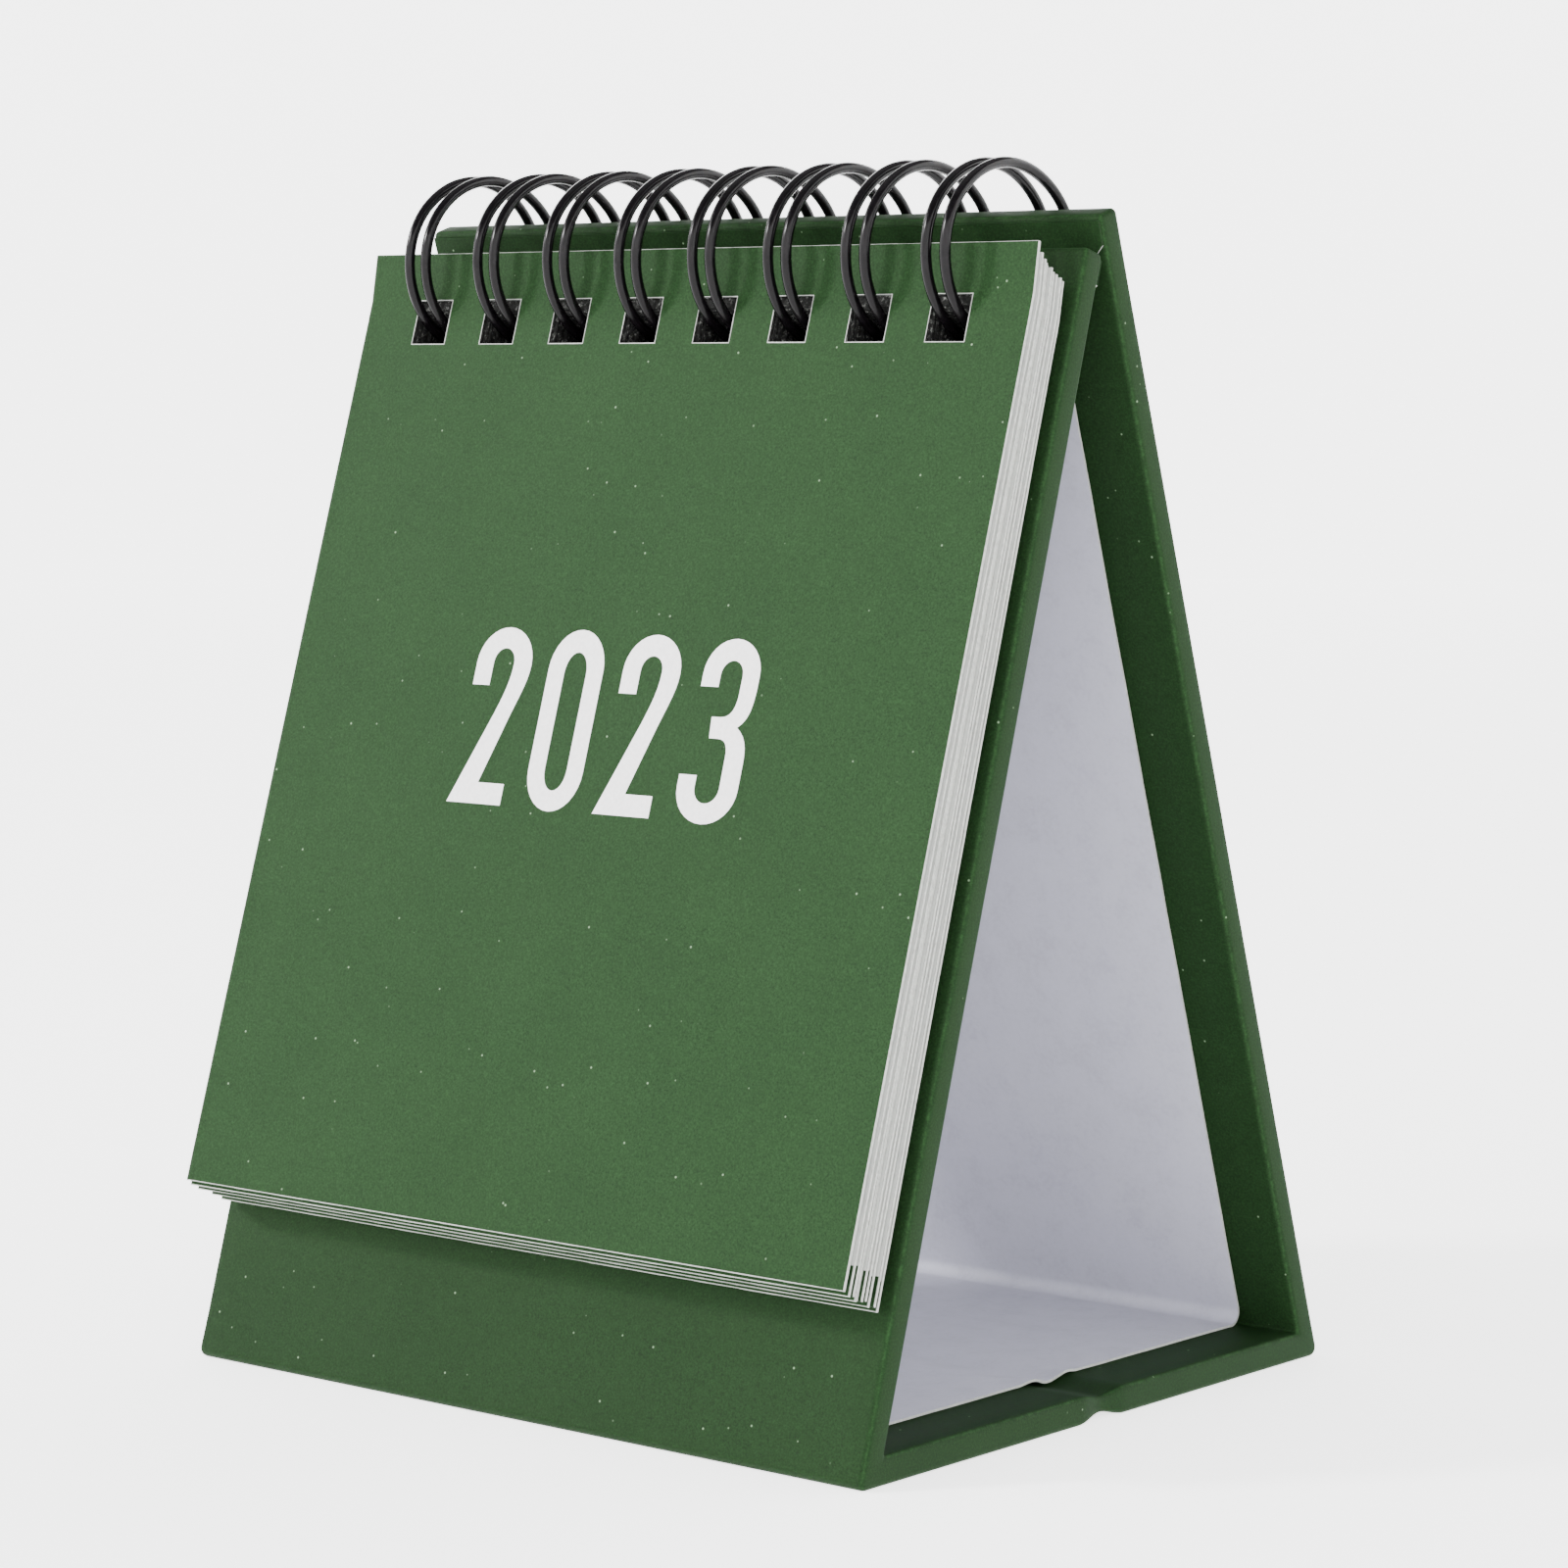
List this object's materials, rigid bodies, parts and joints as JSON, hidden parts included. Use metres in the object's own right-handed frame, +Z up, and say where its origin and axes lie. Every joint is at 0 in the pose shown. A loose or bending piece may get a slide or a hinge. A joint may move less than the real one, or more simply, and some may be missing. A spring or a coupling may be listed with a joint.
{
  "type": "flip desk calendar",
  "caption": "Folding board easel that holds a stack of square-punched card leaves on twin-wire loops; the leaves lift and the easel's base folds upward.",
  "frame": {"origin": "under the middle of the whole object, on the surface it stands on", "axes": "+X along the width, to the right seen from the leaves' side; -Y towards the reader, whom the leaves face; +Z up"},
  "size_m": [0.0768, 0.0662, 0.1061],
  "materials": {
    "greyboard": "matte",
    "cover_paper": "matte, fine-grained printed paper",
    "liner_paper": "smooth uncoated paper",
    "coated_wire": "gloss black",
    "printed_card": "matte printed card",
    "leaf_card": "smooth white card"
  },
  "bodies": {
    "front_panel": {"front_board": "greyboard", "front_cover": "cover_paper", "front_liner": "liner_paper", "front_fold_cover": "cover_paper", "front_fold_liner": "liner_paper"},
    "back_panel": {"back_board": "greyboard", "back_cover": "cover_paper", "back_liner": "liner_paper", "rear_fold_cover": "cover_paper", "rear_fold_liner": "liner_paper"},
    "base_front": {"base_front_board": "greyboard", "base_front_cover": "cover_paper", "base_front_liner": "liner_paper", "middle_fold_cover": "cover_paper", "middle_fold_liner": "liner_paper"},
    "base_rear": {"base_rear_board": "greyboard", "base_rear_cover": "cover_paper", "base_rear_liner": "liner_paper"},
    "wire": {"binding_wire": "coated_wire"},
    "cover_page": {"cover_leaf": "printed_card"},
    "overview_page": {"overview_leaf": "leaf_card"},
    "january_page": {"january_leaf": "leaf_card"},
    "february_page": {"february_leaf": "leaf_card"},
    "march_page": {"march_leaf": "leaf_card"},
    "april_page": {"april_leaf": "leaf_card"},
    "may_page": {"may_leaf": "leaf_card"},
    "june_page": {"june_leaf": "leaf_card"},
    "july_page": {"july_leaf": "leaf_card"},
    "august_page": {"august_leaf": "leaf_card"},
    "september_page": {"september_leaf": "leaf_card"},
    "october_page": {"october_leaf": "leaf_card"},
    "november_page": {"november_leaf": "leaf_card"},
    "december_page": {"december_leaf": "leaf_card"}
  },
  "joints": [
    {"name": "stand_fold", "type": "hinge", "parent": "front_panel", "child": "back_panel", "pos_m": [0, -0.00293, 0.09798], "axis": [-1, 0, 0], "range_deg": [0, 9], "deforming": ["middle_fold_cover", "middle_fold_liner"]},
    {"name": "front_fold", "type": "hinge", "parent": "front_panel", "child": "base_front", "pos_m": [0, -0.02872, 0.0024], "axis": [1, 0, 0], "range_deg": [0, 43.2], "deforming": ["front_fold_cover", "front_fold_liner"]},
    {"name": "rear_fold", "type": "hinge", "parent": "back_panel", "child": "base_rear", "pos_m": [0, 0.03061, 0.00238], "axis": [-1, 0, 0], "range_deg": [0, 43.2], "deforming": ["rear_fold_cover", "rear_fold_liner"]},
    {"name": "wire_turn", "type": "hinge", "parent": "front_panel", "child": "wire", "pos_m": [0, -0.00293, 0.09798], "axis": [-1, 0, 0], "range_deg": [-2, 6]},
    {"name": "pages_turn", "type": "hinge", "parent": "front_panel", "child": "overview_page", "pos_m": [0, -0.00293, 0.09798], "axis": [-1, 0, 0], "range_deg": [0, 40]},
    {"name": "cover_turn", "type": "hinge", "parent": "overview_page", "child": "cover_page", "pos_m": [0, -0.00293, 0.09798], "axis": [-1, 0, 0], "range_deg": [0, 45]},
    {"name": "january_turn", "type": "hinge", "parent": "front_panel", "child": "january_page", "pos_m": [0, -0.00293, 0.09798], "axis": [-1, 0, 0], "range_deg": [0, 36.92]},
    {"name": "february_turn", "type": "hinge", "parent": "front_panel", "child": "february_page", "pos_m": [0, -0.00293, 0.09798], "axis": [-1, 0, 0], "range_deg": [0, 33.85]},
    {"name": "march_turn", "type": "hinge", "parent": "front_panel", "child": "march_page", "pos_m": [0, -0.00293, 0.09798], "axis": [-1, 0, 0], "range_deg": [0, 30.77]},
    {"name": "april_turn", "type": "hinge", "parent": "front_panel", "child": "april_page", "pos_m": [0, -0.00293, 0.09798], "axis": [-1, 0, 0], "range_deg": [0, 27.69]},
    {"name": "may_turn", "type": "hinge", "parent": "front_panel", "child": "may_page", "pos_m": [0, -0.00293, 0.09798], "axis": [-1, 0, 0], "range_deg": [0, 24.62]},
    {"name": "june_turn", "type": "hinge", "parent": "front_panel", "child": "june_page", "pos_m": [0, -0.00293, 0.09798], "axis": [-1, 0, 0], "range_deg": [0, 21.54]},
    {"name": "july_turn", "type": "hinge", "parent": "front_panel", "child": "july_page", "pos_m": [0, -0.00293, 0.09798], "axis": [-1, 0, 0], "range_deg": [0, 18.46]},
    {"name": "august_turn", "type": "hinge", "parent": "front_panel", "child": "august_page", "pos_m": [0, -0.00293, 0.09798], "axis": [-1, 0, 0], "range_deg": [0, 15.38]},
    {"name": "september_turn", "type": "hinge", "parent": "front_panel", "child": "september_page", "pos_m": [0, -0.00293, 0.09798], "axis": [-1, 0, 0], "range_deg": [0, 12.31]},
    {"name": "october_turn", "type": "hinge", "parent": "front_panel", "child": "october_page", "pos_m": [0, -0.00293, 0.09798], "axis": [-1, 0, 0], "range_deg": [0, 9.23]},
    {"name": "november_turn", "type": "hinge", "parent": "front_panel", "child": "november_page", "pos_m": [0, -0.00293, 0.09798], "axis": [-1, 0, 0], "range_deg": [0, 6.15]},
    {"name": "december_turn", "type": "hinge", "parent": "front_panel", "child": "december_page", "pos_m": [0, -0.00293, 0.09798], "axis": [-1, 0, 0], "range_deg": [0, 3.08]}
  ],
  "couplings": [
    {"joint": "front_fold", "follows": "stand_fold", "ratio": 4.8},
    {"joint": "rear_fold", "follows": "stand_fold", "ratio": 4.8},
    {"joint": "january_turn", "follows": "pages_turn", "ratio": 0.9231},
    {"joint": "february_turn", "follows": "pages_turn", "ratio": 0.8462},
    {"joint": "march_turn", "follows": "pages_turn", "ratio": 0.7692},
    {"joint": "april_turn", "follows": "pages_turn", "ratio": 0.6923},
    {"joint": "may_turn", "follows": "pages_turn", "ratio": 0.6154},
    {"joint": "june_turn", "follows": "pages_turn", "ratio": 0.5385},
    {"joint": "july_turn", "follows": "pages_turn", "ratio": 0.4615},
    {"joint": "august_turn", "follows": "pages_turn", "ratio": 0.3846},
    {"joint": "september_turn", "follows": "pages_turn", "ratio": 0.3077},
    {"joint": "october_turn", "follows": "pages_turn", "ratio": 0.2308},
    {"joint": "november_turn", "follows": "pages_turn", "ratio": 0.1538},
    {"joint": "december_turn", "follows": "pages_turn", "ratio": 0.0769}
  ]
}
